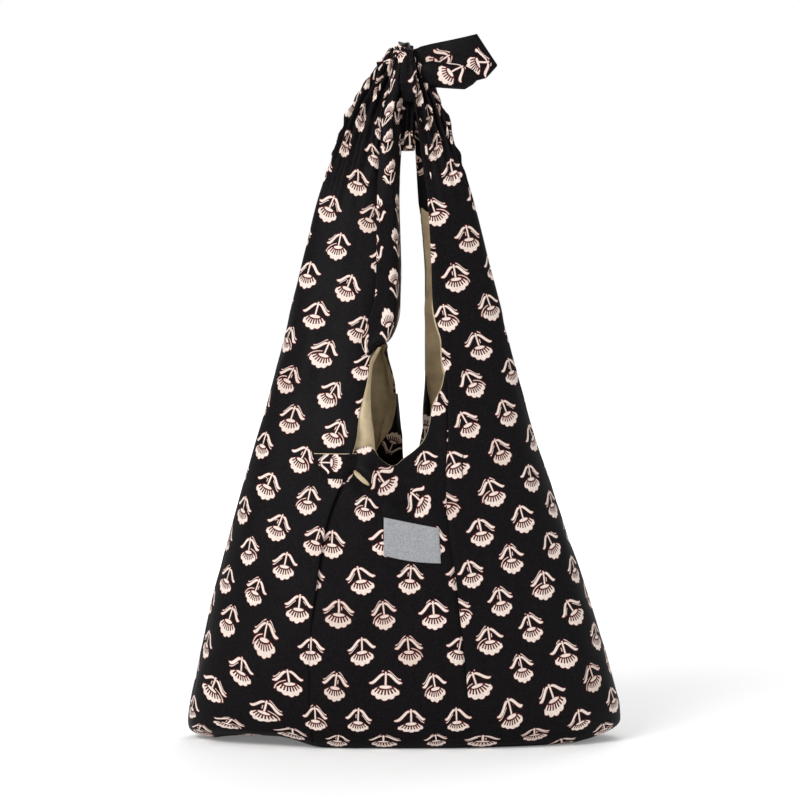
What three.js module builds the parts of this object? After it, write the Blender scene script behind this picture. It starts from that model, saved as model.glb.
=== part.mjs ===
// A shoulder tote bag of printed cotton with a natural cotton lining. It stands on its soft base, and
// its two straps are drawn together above it and tied in a knot. Millimetres, +Z up, and the front of
// the bag faces -Y. The origin is on the surface that the bag stands on, under the middle of its box.
import * as THREE from "three";

// Driving dimensions: the two cloths, and how finely they are faceted.
const SHELL_THICK = 1.2;
const LINING_THICK = 1.0;
const CLEARANCE = 0.3;
const ROUNDNESS = 2.2; // exponent of the superellipse that a level section of the bag follows
const COLUMNS = { frontLeft: 9, centre: 5, frontRight: 7, backLeft: 9, backRight: 7 };
const BEND_COLUMN = 4; // the left strap's back half starts to turn at this column
const TUCK_COLUMN = 5; // the front's right tuck runs along this column, inside the strap's edge
const BASE_ROWS = 3; // rows of faces across the base
const BODY_HEIGHTS = [0, 3, 12, 34, 66, 100, 135, 170, 205, 235, 262, 281, 300];
const STRAP_HEIGHTS = [316, 332, 348, 360, 367, 375, 385, 395, 407, 424, 446, 472, 504, 538, 572];

// Level sections of the bag, from its base to the knot: how far its outer face reaches.
const OUTLINE = [
  { z: 0, left: -170, right: 160, front: -54, back: 54 },
  { z: 3, left: -189, right: 180, front: -63, back: 62 },
  { z: 12, left: -201, right: 198, front: -71, back: 70 },
  { z: 36, left: -199, right: 197, front: -76, back: 75 },
  { z: 91, left: -187, right: 182, front: -79, back: 78 },
  { z: 146, left: -174, right: 164, front: -77, back: 77 },
  { z: 205, left: -157, right: 144, front: -71, back: 72 },
  { z: 248, left: -145, right: 130, front: -65, back: 67 },
  { z: 276, left: -137, right: 120, front: -60, back: 62 },
  { z: 300, left: -130, right: 113, front: -55, back: 57 },
  { z: 330, left: -122, right: 105, front: -48, back: 49 },
  { z: 350, left: -117, right: 100, front: -44, back: 45 },
  { z: 369, left: -112, right: 95, front: -40, back: 41 },
  { z: 395, left: -107, right: 89, front: -36, back: 36 },
  { z: 438, left: -96, right: 78, front: -29, back: 30 },
  { z: 494, left: -82, right: 64, front: -23, back: 23 },
  { z: 535, left: -69, right: 50, front: -20, back: 20 },
  { z: 572, left: -57, right: 39, front: -17, back: 17 },
];

// The inner edges of the straps' halves at the front and the back, carried on down the walls below the
// mouth. One tuck of the front is under edgeLeft, the other along tuck.
const EDGES = [
  { z: 0, edgeLeft: -83, tuck: 56, edgeRight: 36, backLeft: -56, backRight: 56 },
  { z: 3, edgeLeft: -84, tuck: 56, edgeRight: 36, backLeft: -56, backRight: 56 },
  { z: 12, edgeLeft: -85, tuck: 56, edgeRight: 36, backLeft: -56, backRight: 56 },
  { z: 36, edgeLeft: -85, tuck: 55, edgeRight: 36, backLeft: -56, backRight: 56 },
  { z: 91, edgeLeft: -85, tuck: 50, edgeRight: 34, backLeft: -52, backRight: 52 },
  { z: 146, edgeLeft: -80, tuck: 44, edgeRight: 30, backLeft: -42, backRight: 45 },
  { z: 205, edgeLeft: -71, tuck: 37, edgeRight: 24, backLeft: -26, backRight: 34 },
  { z: 248, edgeLeft: -55, tuck: 38, edgeRight: 19, backLeft: -14, backRight: 24 },
  { z: 276, edgeLeft: -45, tuck: 39, edgeRight: 20, backLeft: -10, backRight: 19 },
  { z: 300, edgeLeft: -40, tuck: 42, edgeRight: 24, backLeft: -9, backRight: 18 },
  { z: 330, edgeLeft: -35, tuck: 46, edgeRight: 33, backLeft: -9, backRight: 18 },
  { z: 350, edgeLeft: -33, tuck: 46, edgeRight: 33, backLeft: -15, backRight: 18 },
  { z: 369, edgeLeft: -31, tuck: 44, edgeRight: 32, backLeft: -19, backRight: 18 },
  { z: 395, edgeLeft: -26, tuck: 38, edgeRight: 25, backLeft: -6, backRight: 18 },
  { z: 438, edgeLeft: -20, tuck: 35, edgeRight: 23, backLeft: -4, backRight: 17 },
  { z: 494, edgeLeft: -20, tuck: 30, edgeRight: 21, backLeft: -6, backRight: 14 },
  { z: 535, edgeLeft: -18, tuck: 24, edgeRight: 15, backLeft: -6, backRight: 11 },
  { z: 572, edgeLeft: -17, tuck: 18, edgeRight: 10, backLeft: -7, backRight: 9 },
];
const SECTIONS = OUTLINE.map((row, i) => ({ ...row, ...EDGES[i] }));

// The back half of the left strap comes round the strap's open inner side towards the front. It starts
// to turn at bend, backLeft is then how far out the turn reaches, and turn is how much of a half turn
// it makes. Flap is how far its edge lies back over the front half, and sag is how much lower it hangs.
const LEFT_TURN = [
  { z: 0, bend: -110, turn: 0, flap: 0, sag: 0 },
  { z: 146, bend: -88, turn: 0, flap: 0, sag: 0 },
  { z: 276, bend: -46, turn: 0, flap: 0, sag: 0 },
  { z: 300, bend: -40, turn: 0, flap: 0, sag: 0 },
  { z: 330, bend: -34, turn: 0.3, flap: 0, sag: 0 },
  { z: 350, bend: -33, turn: 0.4, flap: 0, sag: 0 },
  { z: 361, bend: -32, turn: 0.5, flap: 0, sag: 0 },
  { z: 374, bend: -27, turn: 1, flap: 8, sag: 22 },
  { z: 384, bend: -23, turn: 1, flap: 16, sag: 18 },
  { z: 394, bend: -19, turn: 1, flap: 16, sag: 12 },
  { z: 407, bend: -17, turn: 1, flap: 10, sag: 4 },
  { z: 440, bend: -17, turn: 1, flap: 9, sag: 0 },
  { z: 535, bend: -16, turn: 1, flap: 8, sag: 0 },
  { z: 572, bend: -16, turn: 1, flap: 6, sag: 0 },
];
const FLAP_ROOM = 2; // free space between the linings of the flap and of the front half
const FLAP_GAP = SHELL_THICK + 2 * (LINING_THICK + CLEARANCE) + FLAP_ROOM;
const SAG_LEAN = 0.22; // the flap leans forward over the strap's foot by this share of its sag
const TURN_STEPS = 24;

// The mouth's edge: its height at each share of the way across from the left strap to the right one.
const FRONT_MOUTH = [
  { across: 0, height: 265 },
  { across: 0.32, height: 259 },
  { across: 0.52, height: 254 },
  { across: 0.8, height: 269 },
  { across: 0.94, height: 281 },
  { across: 1, height: 300 },
];
const BACK_MOUTH = [
  { across: 0, height: 300 },
  { across: 0.2, height: 258 },
  { across: 0.5, height: 244 },
  { across: 0.8, height: 258 },
  { across: 1, height: 300 },
];
// The left corner of the front's mouth is lower than its right one and pulls the rows around it down.
const CORNER = { z: 300, drop: 35, below: 120, above: 80 };

// The tucks: the strips beside them lie over the centre of the front, which is set in by their depth.
// The depth grows over the heights from open to full and is gone again from fades to gone.
const TUCK = { depth: 4, side: 3.5, open: 40, full: 150, fades: 270, gone: 330 };

// The base leaves the ground at its front left edge and at its right corner.
const LIFTS = [
  { height: 9, x: -72, reach: -45, frontOnly: true },
  { height: 9, x: 150, reach: 50, frontOnly: false },
];
const LIFT_TOP = 90; // the height to which a lifted edge is felt
const LIFT_DEPTH = 50; // how far in from the middle an edge that lifts only at the front is fully lifted

const LABEL = { x: 5.5, z: 188, width: 50, height: 33, tilt: -0.17, thick: 0.8, columns: 8, rows: 4 };
const LABEL_SLACK = 0.1; // a flat facet's clearance over the curved front

// Level sections of the knot: the fold that hangs between the straps, and then the gathered straps up
// to its top.
const KNOT = [
  { z: 544, left: -5, right: 8, front: -11, back: 11, folds: 0 },
  { z: 572.4, left: -5, right: 8, front: -12, back: 12, folds: 0 },
  { z: 572.4, left: -57, right: 39, front: -20, back: 19, folds: 0 },
  { z: 586, left: -49, right: 34, front: -23, back: 22, folds: 0.1 },
  { z: 597, left: -43, right: 30, front: -25, back: 23, folds: 0.14 },
  { z: 599.2, left: -41, right: 12.6, front: -25, back: 23, folds: 0.14 },
  { z: 611, left: -34, right: 12.3, front: -25, back: 22, folds: 0.14 },
  { z: 624, left: -26, right: 12, front: -22, back: 20, folds: 0.12 },
  { z: 635, left: -15, right: 10, front: -16, back: 15, folds: 0.1 },
  { z: 643, left: -6, right: 5, front: -6, back: 6, folds: 0 },
];
const KNOT_COLUMNS = 40;
const KNOT_FOLDS = 9;

// The strap's turn across the front of the knot.
const WRAP = { x: 1.5, halfWidth: 7, z: 601, halfHeight: 24, depth: 5 };

// Upright sections of the free end: the strap's end, folded flat, that leaves the knot to the right. Low
// and high are its lower and upper edges, and front and back where its outer layers lie.
const FREE_END = [
  { x: 12.9, low: 603, high: 632, front: -9, back: 3 },
  { x: 21, low: 600, high: 641, front: -13, back: 0 },
  { x: 31, low: 599.5, high: 643.5, front: -15, back: -5 },
  { x: 50, low: 600, high: 648, front: -16, back: -8.5 },
  { x: 61, low: 604, high: 650.5, front: -15, back: -8 },
  { x: 67.5, low: 607.5, high: 652, front: -13.5, back: -7 },
  { x: 72, low: 610, high: 646, front: -12, back: -6.5 },
  { x: 78, low: 616.5, high: 637.5, front: -10.5, back: -6 },
  { x: 85, low: 623, high: 628, front: -9, back: -6 },
];
const FREE_END_COLUMNS = 16;
const FREE_END_FLATNESS = 0.4; // power of the sine that spreads its flat faces towards its edges

const BLACK_PRINT = { color: 0x17151a, roughness: 0.9, metalness: 0 };
const NATURAL_COTTON = { color: 0xc0b394, roughness: 0.95, metalness: 0 };
const WOVEN_GREY = { color: 0xb7b8bd, roughness: 0.75, metalness: 0 };

// A table read at any value of its key, smoothly from row to row.
function readTable(table, key, at) {
  const last = table.length - 1;
  const clamped = Math.min(Math.max(at, table[0][key]), table[last][key]);
  let i = 0;
  while (i < last - 1 && table[i + 1][key] <= clamped) i += 1;
  const span = table[i + 1][key] - table[i][key];
  const t = (clamped - table[i][key]) / span;
  const slope = (j, name) => {
    const a = table[Math.max(j - 1, 0)];
    const b = table[Math.min(j + 1, last)];
    return (b[name] - a[name]) / (b[key] - a[key]);
  };
  const row = {};
  for (const name of Object.keys(table[0])) {
    const start = table[i][name] * (1 + 2 * t) * (1 - t) ** 2 + slope(i, name) * span * t * (1 - t) ** 2;
    const end = table[i + 1][name] * (3 - 2 * t) * t ** 2 - slope(i + 1, name) * span * (1 - t) * t ** 2;
    row[name] = start + end;
  }
  return row;
}

const lerp = THREE.MathUtils.lerp;
const smooth = (value) => THREE.MathUtils.smoothstep(value, 0, 1);
const bell = (value) => Math.exp(-value * value);
const power = (value) => Math.sign(value) * Math.abs(value) ** (2 / ROUNDNESS);

// The angle along a superellipse at which it is a share of its half width from the middle.
const angleAt = (share) => Math.acos(Math.min(Math.max(share, 0), 1) ** (ROUNDNESS / 2));

// The depth of the bag's outer face at x, on the side of the bag that depth is on.
function depthAt(row, x, depth) {
  const middle = (row.left + row.right) / 2;
  const share = Math.abs(x - middle) / ((row.right - row.left) / 2);
  return depth * Math.max(1 - share ** ROUNDNESS, 0) ** (1 / ROUNDNESS);
}

// Part of a level section's outer face, from one x to another and evenly turned. A point's z is how far
// it hangs below the section.
function wall(row, side, depth, fromX, toX, count) {
  const middle = (row.left + row.right) / 2;
  const half = side - middle;
  const start = angleAt((fromX - middle) / half);
  const end = angleAt((toX - middle) / half);
  return Array.from({ length: count + 1 }, (_, k) => {
    const angle = lerp(start, end, k / count);
    return new THREE.Vector3(middle + half * power(Math.cos(angle)), depth * power(Math.sin(angle)), 0);
  });
}

// A line made again with a number of evenly spaced points.
function respaced(points, count) {
  const along = [0];
  for (let i = 1; i < points.length; i += 1) {
    along.push(along[i - 1] + points[i].distanceTo(points[i - 1]));
  }
  return Array.from({ length: count + 1 }, (_, k) => {
    const at = (along[along.length - 1] * k) / count;
    let i = 1;
    while (i < along.length - 1 && along[i] < at) i += 1;
    const share = (at - along[i - 1]) / (along[i] - along[i - 1]);
    return points[i - 1].clone().lerp(points[i], share);
  });
}

// The back's left wall: round from the side to the bend, and then the part that turns to the front.
function backLeftWall(row) {
  const { bend, turn, flap, sag } = readTable(LEFT_TURN, "z", row.z);
  const widest = Math.sin(Math.min(Math.PI * turn, Math.PI / 2));
  const turned = Array.from({ length: TURN_STEPS + 1 }, (_, i) => {
    const t = i / TURN_STEPS;
    const angle = Math.PI * turn * t;
    const reach = turn > 0 ? power(Math.sin(angle) / widest) : t;
    const x = lerp(bend, row.backLeft, reach);
    const rise = depthAt(row, x, row.back) + FLAP_GAP / 2;
    const hang = (sag * smooth(t)) / 2;
    const y = rise * power(Math.cos(angle)) - FLAP_GAP / 2 - SAG_LEAN * hang;
    return new THREE.Vector3(x, y, -hang);
  });
  if (flap > 0) {
    const end = turned[TURN_STEPS];
    turned.push(new THREE.Vector3(end.x - flap, end.y - (SAG_LEAN * sag) / 2, -sag));
  }
  const round = wall(row, row.left, row.back, row.left, bend, BEND_COLUMN);
  return [...round, ...respaced(turned, COLUMNS.backLeft - BEND_COLUMN).slice(1)];
}

// The front's right wall: round from the side to the tuck, a narrow step beside it, and on to the
// strap's edge.
function frontRightWall(row) {
  const round = wall(row, row.right, row.front, row.right, row.tuck, TUCK_COLUMN);
  const foot = row.tuck - TUCK.side;
  const [, beside] = wall(row, row.right, row.front, row.tuck, foot, 1);
  const inner = wall(row, row.right, row.front, foot, row.edgeRight, COLUMNS.frontRight - TUCK_COLUMN - 1);
  return [...round, beside, ...inner.slice(1)];
}

// Every wall's points at the heights of the sections.
const WALLS = SECTIONS.map((row) => ({
  z: row.z,
  frontLeft: wall(row, row.left, row.front, row.left, row.edgeLeft, COLUMNS.frontLeft),
  frontRight: frontRightWall(row),
  backLeft: backLeftWall(row),
  backRight: wall(row, row.right, row.back, row.right, row.backRight, COLUMNS.backRight),
}));

// A point of one wall's column at any height.
function wallPoint(name, column, z) {
  const line = WALLS.map((section) => {
    const { x, y, z: hang } = section[name][column];
    return { z: section.z, x, y, hang };
  });
  const { x, y, hang } = readTable(line, "z", z);
  return new THREE.Vector3(x, y, z + hang);
}

// How far the left corner of the front's mouth pulls a row of the front down.
function cornerDrop(z) {
  const below = smooth((z - CORNER.z + CORNER.below) / CORNER.below);
  const above = smooth((z - CORNER.z) / CORNER.above);
  return CORNER.drop * below * (1 - above);
}

// How far the front's centre is set in beside the tucks at a height.
function setIn(z) {
  const opened = smooth((z - TUCK.open) / (TUCK.full - TUCK.open));
  const faded = smooth((z - TUCK.fades) / (TUCK.gone - TUCK.fades));
  return TUCK.depth * opened * (1 - faded);
}

// How far the base is off the ground at a place.
function lift(x, y) {
  return LIFTS.reduce((sum, { height, x: start, reach, frontOnly }) => {
    const across = smooth((x - start) / reach);
    const forward = frontOnly ? smooth(-y / LIFT_DEPTH) : 1;
    return sum + height * across * forward;
  }, 0);
}

// A point of the wall, raised with the edge of the base under it.
function lifted(point) {
  const share = Math.max(1 - point.z / LIFT_TOP, 0);
  point.z += lift(point.x, point.y) * share ** 2;
  return point;
}

// A sheet of triangles that shares its corners by name.
class Sheet {
  constructor() {
    this.points = [];
    this.names = new Map();
    this.faces = [];
  }

  corner(name, point) {
    if (!this.names.has(name)) {
      this.names.set(name, this.points.length);
      this.points.push(point);
    }
    return this.names.get(name);
  }

  // Adds a face as triangles. A corner that is met twice is left out.
  face(corners) {
    const ring = corners.filter((corner, i) => corner !== corners[(i + 1) % corners.length]);
    for (let i = 1; i < ring.length - 1; i += 1) {
      this.faces.push([ring[0], ring[i], ring[i + 1]]);
    }
  }

  // Adds a grid of faces, with its rows in order up the sheet.
  grid(rows, flipped) {
    for (let j = 0; j < rows.length - 1; j += 1) {
      for (let k = 0; k < rows[j].length - 1; k += 1) {
        const ring = [rows[j][k], rows[j][k + 1], rows[j + 1][k + 1], rows[j + 1][k]];
        this.face(flipped ? ring.reverse() : ring);
      }
    }
  }

  // The outward direction at each point, led by the larger faces around it.
  normals() {
    const sums = this.points.map(() => new THREE.Vector3());
    for (const [a, b, c] of this.faces) {
      const side = this.points[b].clone().sub(this.points[a]);
      const normal = side.cross(this.points[c].clone().sub(this.points[a]));
      for (const i of [a, b, c]) sums[i].add(normal);
    }
    return sums.map((sum) => sum.normalize());
  }

  // The closed solid between two depths under the sheet's outer face.
  solid(near, far) {
    const normals = this.normals();
    const count = this.points.length;
    const sunk = (point, i, depth) => point.clone().addScaledVector(normals[i], -depth);
    const at = (depth) => this.points.map((point, i) => sunk(point, i, depth));
    const triangles = [];
    const edges = new Map();
    for (const [a, b, c] of this.faces) {
      triangles.push([a, b, c], [c + count, b + count, a + count]);
      for (const [p, q] of [[a, b], [b, c], [c, a]]) {
        if (edges.has(`${q},${p}`)) edges.delete(`${q},${p}`);
        else edges.set(`${p},${q}`, [p, q]);
      }
    }
    for (const [p, q] of edges.values()) {
      triangles.push([q, p, p + count], [q, p + count, q + count]);
    }
    return geometryOf([...at(near), ...at(far)], triangles);
  }
}

function geometryOf(points, triangles) {
  const geometry = new THREE.BufferGeometry().setFromPoints(points);
  geometry.setIndex(triangles.flat());
  geometry.computeVertexNormals();
  return geometry;
}

// One side wall's rows of corners, from the base to the knot. The walls of one side share their first
// column.
function wallRows(sheet, name) {
  const side = name.endsWith("Left") ? "left side" : "right side";
  return [...BODY_HEIGHTS, ...STRAP_HEIGHTS].map((height, row) =>
    Array.from({ length: COLUMNS[name] + 1 }, (_, k) => {
      const drop = name === "frontLeft" ? (cornerDrop(height) * k) / COLUMNS[name] : 0;
      const point = wallPoint(name, k, height - drop);
      if (name === "frontRight" && k > TUCK_COLUMN) point.y += setIn(point.z);
      return sheet.corner(k ? `${name} ${row} ${k}` : `${side} ${row}`, lifted(point));
    }),
  );
}

// The rows of the front's or the back's centre, between the last columns of the side walls and under
// the mouth.
function centreRows(sheet, isFront, leftRows, rightRows) {
  const name = isFront ? "front centre" : "back centre";
  const mouth = isFront ? FRONT_MOUTH : BACK_MOUTH;
  const top = BODY_HEIGHTS[BODY_HEIGHTS.length - 1];
  const count = COLUMNS.centre;
  return BODY_HEIGHTS.map((height, row) =>
    Array.from({ length: count + 1 }, (_, k) => {
      if (k === 0) return leftRows[row][leftRows[row].length - 1];
      if (k === count) return rightRows[row][rightRows[row].length - 1];
      const rim = readTable(mouth, "across", k / count).height;
      const z = height - (top - rim) * smooth(height / top) ** 2;
      const section = readTable(SECTIONS, "z", z);
      const [start, end] = isFront
        ? [section.edgeLeft + TUCK.side, section.edgeRight]
        : [section.backLeft, section.backRight];
      const x = lerp(start, end, isFront ? (k - 1) / (count - 1) : k / count);
      const y = isFront ? depthAt(section, x, section.front) + setIn(z) : depthAt(section, x, section.back);
      return sheet.corner(`${name} ${row} ${k}`, lifted(new THREE.Vector3(x, y, z)));
    }),
  );
}

// The bag's outer face as one cloth: the front, the back, the base and both straps.
function bagSheet() {
  const sheet = new Sheet();
  const frontLeft = wallRows(sheet, "frontLeft");
  const frontRight = wallRows(sheet, "frontRight");
  const backLeft = wallRows(sheet, "backLeft");
  const backRight = wallRows(sheet, "backRight");
  const frontCentre = centreRows(sheet, true, frontLeft, frontRight);
  const backCentre = centreRows(sheet, false, backLeft, backRight);
  sheet.grid(frontLeft, false);
  sheet.grid(frontCentre, false);
  sheet.grid(frontRight, true);
  sheet.grid(backLeft, true);
  sheet.grid(backCentre, true);
  sheet.grid(backRight, false);

  // The base runs straight across from the front's lowest row to the back's.
  const lowest = (left, centre, right) => [
    ...left[0],
    ...centre[0].slice(1, -1),
    ...right[0].slice().reverse(),
  ];
  const front = lowest(frontLeft, frontCentre, frontRight);
  const back = lowest(backLeft, backCentre, backRight);
  const base = Array.from({ length: BASE_ROWS + 1 }, (_, j) =>
    front.map((corner, k) => {
      if (j === 0 || corner === back[k]) return corner;
      if (j === BASE_ROWS) return back[k];
      const point = sheet.points[corner].clone().lerp(sheet.points[back[k]], j / BASE_ROWS);
      point.z = lift(point.x, point.y);
      return sheet.corner(`base ${k} ${j}`, point);
    }),
  );
  sheet.grid(base, true);
  return sheet;
}

// The front's outer face at x and z, for what is sewn to it.
function frontPoint(x, z) {
  const section = readTable(SECTIONS, "z", z);
  return new THREE.Vector3(x, depthAt(section, x, section.front) + setIn(z), z);
}

// The label: a tape that follows the front under it.
function labelGeometry() {
  const sheet = new Sheet();
  const off = CLEARANCE + LABEL_SLACK + LABEL.thick;
  const rows = Array.from({ length: LABEL.rows + 1 }, (_, j) =>
    Array.from({ length: LABEL.columns + 1 }, (_, k) => {
      const across = LABEL.width * (k / LABEL.columns - 0.5);
      const up = LABEL.height * (j / LABEL.rows - 0.5);
      const place = new THREE.Vector2(across, up).rotateAround(new THREE.Vector2(), LABEL.tilt);
      const point = frontPoint(LABEL.x + place.x, LABEL.z + place.y);
      point.y -= off;
      return sheet.corner(`label ${j} ${k}`, point);
    }),
  );
  sheet.grid(rows, false);
  return sheet.solid(0, LABEL.thick);
}

// A solid through a row of rings that have the same number of points, closed by a fan at each end.
function loft(rings) {
  const count = rings[0].length;
  const points = rings.flat();
  const triangles = [];
  for (let j = 0; j < rings.length - 1; j += 1) {
    for (let k = 0; k < count; k += 1) {
      const next = (k + 1) % count;
      const lower = j * count;
      const upper = lower + count;
      triangles.push([lower + k, lower + next, upper + next], [lower + k, upper + next, upper + k]);
    }
  }
  for (const [ring, flipped] of [[0, true], [rings.length - 1, false]]) {
    const middle = points.length;
    const sum = rings[ring].reduce((total, point) => total.add(point), new THREE.Vector3());
    points.push(sum.divideScalar(count));
    for (let k = 0; k < count; k += 1) {
      const [a, b] = [ring * count + k, ring * count + ((k + 1) % count)];
      triangles.push(flipped ? [middle, b, a] : [middle, a, b]);
    }
  }
  return geometryOf(points, triangles);
}

// The knot: creased rings around the place where the strap's turn crosses its front.
function knotGeometry() {
  const rings = KNOT.map((row) =>
    Array.from({ length: KNOT_COLUMNS }, (_, k) => {
      const angle = (2 * Math.PI * k) / KNOT_COLUMNS;
      const crease = 1 - row.folds * (0.5 + 0.5 * Math.cos(KNOT_FOLDS * angle));
      const side = Math.cos(angle) < 0 ? row.left : row.right;
      const x = WRAP.x + (side - WRAP.x) * Math.abs(power(Math.cos(angle)));
      const y = (Math.sin(angle) < 0 ? -row.front : row.back) * power(Math.sin(angle)) * crease;
      const across = bell((x - WRAP.x) / WRAP.halfWidth) * bell((row.z - WRAP.z) / WRAP.halfHeight);
      const wrapped = row.folds > 0 && y < 0 ? WRAP.depth * across : 0;
      return new THREE.Vector3(x, y - wrapped, row.z);
    }),
  );
  return loft(rings);
}

// The free end: flat rings from the knot out to the cut end.
function freeEndGeometry() {
  const rings = FREE_END.map((row) =>
    Array.from({ length: FREE_END_COLUMNS }, (_, k) => {
      const angle = (2 * Math.PI * k) / FREE_END_COLUMNS;
      const out = Math.sign(Math.sin(angle)) * Math.abs(Math.sin(angle)) ** FREE_END_FLATNESS;
      const z = lerp(row.low, row.high, 0.5 - 0.5 * power(Math.cos(angle)));
      return new THREE.Vector3(row.x, lerp(row.front, row.back, 0.5 + 0.5 * out), z);
    }),
  );
  return loft(rings);
}

function piece(name, geometry, finish) {
  const material = new THREE.MeshStandardMaterial({ ...finish, side: THREE.DoubleSide });
  const mesh = new THREE.Mesh(geometry, material);
  mesh.name = name;
  return mesh;
}

const sheet = bagSheet();
const liningNear = SHELL_THICK + CLEARANCE;
const bag = new THREE.Group();
bag.add(piece("outer_cloth", sheet.solid(0, SHELL_THICK), BLACK_PRINT));
bag.add(piece("lining", sheet.solid(liningNear, liningNear + LINING_THICK), NATURAL_COTTON));
bag.add(piece("label", labelGeometry(), WOVEN_GREY));
bag.add(piece("strap_knot", knotGeometry(), BLACK_PRINT));
bag.add(piece("strap_free_end", freeEndGeometry(), BLACK_PRINT));

// The origin goes under the middle of the bag's box.
const box = new THREE.Box3().setFromObject(bag, true);
const middle = box.getCenter(new THREE.Vector3());
bag.position.set(-middle.x, -middle.y, -box.min.z);
const group = new THREE.Group();
group.add(bag);

export default group;
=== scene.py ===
"""The looks of a shoulder tote bag of printed cotton, whose straps are knotted above it.

Lengths in the tables are millimetres. x runs to the front's right from the middle of the mouth, y runs
to the back, and z is the height above the surface that the bag stands on.
"""

import math
from functools import partialmethod
from types import SimpleNamespace as Values

import bmesh
import bpy
import numpy as np
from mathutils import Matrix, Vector, noise


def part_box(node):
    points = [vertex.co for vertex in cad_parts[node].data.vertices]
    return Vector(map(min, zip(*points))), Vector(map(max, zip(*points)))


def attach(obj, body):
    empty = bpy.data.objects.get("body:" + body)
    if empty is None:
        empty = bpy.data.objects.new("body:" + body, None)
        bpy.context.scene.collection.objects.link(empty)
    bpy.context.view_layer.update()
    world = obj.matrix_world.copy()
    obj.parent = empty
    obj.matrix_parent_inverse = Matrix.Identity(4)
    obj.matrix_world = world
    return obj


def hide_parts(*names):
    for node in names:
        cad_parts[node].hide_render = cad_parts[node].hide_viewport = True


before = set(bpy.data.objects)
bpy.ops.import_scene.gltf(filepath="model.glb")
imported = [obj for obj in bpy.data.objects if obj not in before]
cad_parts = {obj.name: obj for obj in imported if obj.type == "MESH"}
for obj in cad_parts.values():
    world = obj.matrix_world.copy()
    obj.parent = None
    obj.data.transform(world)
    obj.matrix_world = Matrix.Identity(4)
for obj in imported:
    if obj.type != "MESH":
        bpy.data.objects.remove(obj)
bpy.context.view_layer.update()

MM = 0.001
WELD = 0.05 * MM
ROUNDNESS = 2.2  # exponent of the superellipse that a level section of the bag follows


def table(names, *rows):
    """Rows of values under the names of their columns."""
    return [Values(**dict(zip(names.split(), row))) for row in rows]


# Level sections: how far the outer face reaches, then the inner edges of the straps' halves, and below
# the mouth the creases of the tucks. The front's right tuck has a crease of its own, which runs out at
# the strap's edge. Above 572 the straps are gathered into the knot.
SECTIONS = table(
    "z left right front back front_left crease front_right bend back_left back_right",
    (0, -178, 172, -64, 62, -83, 56, 36, -110, -56, 56),
    (3, -193, 188, -69, 67, -84, 56, 36, -110, -56, 56),
    (7, -199.5, 196, -72.5, 71, -84.5, 56, 36, -109.5, -56, 56),
    (12, -201.5, 199.5, -75, 74, -85, 56, 36, -109, -56, 56),
    (20, -201.5, 199.5, -77.5, 76, -86, 56.5, 36, -108, -56, 56),
    (36, -199, 197.5, -79, 77.5, -87, 57, 36, -107, -56, 56),
    (91, -187, 182, -80, 79, -87, 53, 34, -99, -52, 52),
    (146, -174, 164, -77, 77, -82, 47, 30, -88, -42, 45),
    (205, -157, 144, -71, 72, -72, 39, 24, -70, -26, 34),
    (248, -145, 130, -65, 67, -56, 37, 19, -55, -14, 24),
    (276, -137, 120, -60, 62, -46, 39, 20, -46, -10, 19),
    (300, -130, 113, -55, 57, -43, 40, 24, -40, -9, 18),
    (330, -122, 105, -48, 49, -36, 39, 34, -34, -9, 20),
    (350, -117, 100, -44, 45, -33, 34, 34, -33, -15, 20),
    (369, -112, 95, -40, 41, -31, 33, 33, -29, -19, 20),
    (376, -110.5, 93, -39, 40, -29.5, 31, 31, -26, -14, 20),
    (384, -109, 91, -37.5, 38, -28, 28.5, 28.5, -22.5, -9.5, 20),
    (395, -107, 89, -36, 36, -26, 26, 26, -19, -6, 19.5),
    (407, -104, 86, -34, 34, -24, 25, 25, -18, -5, 19),
    (438, -96, 78, -29, 30, -20, 24, 24, -17, -4, 18.5),
    (494, -82, 64, -23, 23, -20, 21, 21, -17, -6, 14),
    (535, -69, 50, -20, 20, -18, 15, 15, -16, -6, 11),
    (572, -55, 37, -18, 18, -15, 10, 10, -15, -7, 9),
    (590, -45, 30, -19, 18, -11, 7, 7, -13, -6, 7),
    (608, -33, 20, -19, 18, -7, 4, 4, -10, -4, 4),
    (624, -21, 12, -17, 15, -4, 1, 1, -7, -3, 2),
    (636, -13, 5, -11, 10, -3, -1, -1, -5, -3, 0),
)

# The left strap's back half comes round to the front: by what share of a half turn, how far its edge
# then lies back over the front half, and how much lower that edge hangs.
LEFT_TURN = table(
    "z turn flap sag",
    (0, 0, 0, 0),
    (300, 0, 0, 0),
    (330, 0.3, 0, 0),
    (350, 0.35, 0, 0),
    (361, 0.4, 0, 0),
    (369, 0.6, 0, 4),
    (376, 1, 6, 22),
    (384, 1, 17, 18),
    (395, 1, 16, 12),
    (407, 1, 10, 4),
    (440, 1, 9, 0),
    (535, 1, 8, 0),
    (572, 1, 6, 0),
    (636, 1, 3, 0),
)
FLAP_GAP = 6
FLAP_FOOT = 372
FLAP_MIDDLE = 440
FLAP_ROUNDNESS = 3.0  # exponent of the superellipse that the turned part follows
FLAP_CELLS = 39
FLAP_LEAST = 0.01
SAG_LEAN = 0.22  # the flap leans forward over the strap's foot by this share of its sag
FLAP_SHIFT = 2  # the turned part's print is pulled inwards by this much
FLAP_GATHER = 0.7  # how much more cloth its small folds take up
FLAP_EASE = 30  # past the bend its print turns upright over this much cloth

# The mouth's hem in the front, from under the left tuck to where it meets the right crease.
FRONT_MOUTH = table(
    "x z",
    (-84, 264), (-58, 265), (-45, 268), (-36, 272), (-29, 269), (-23, 260), (-11, 254), (-3, 260),
    (9, 269), (17, 278), (22, 292), (25, 309), (33, 325), (34, 346),
)
BACK_MOUTH = table(
    "x z",
    (-50, 296), (-12, 270), (-4, 253), (5, 246), (14, 253), (22, 270), (54, 296),
)

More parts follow.
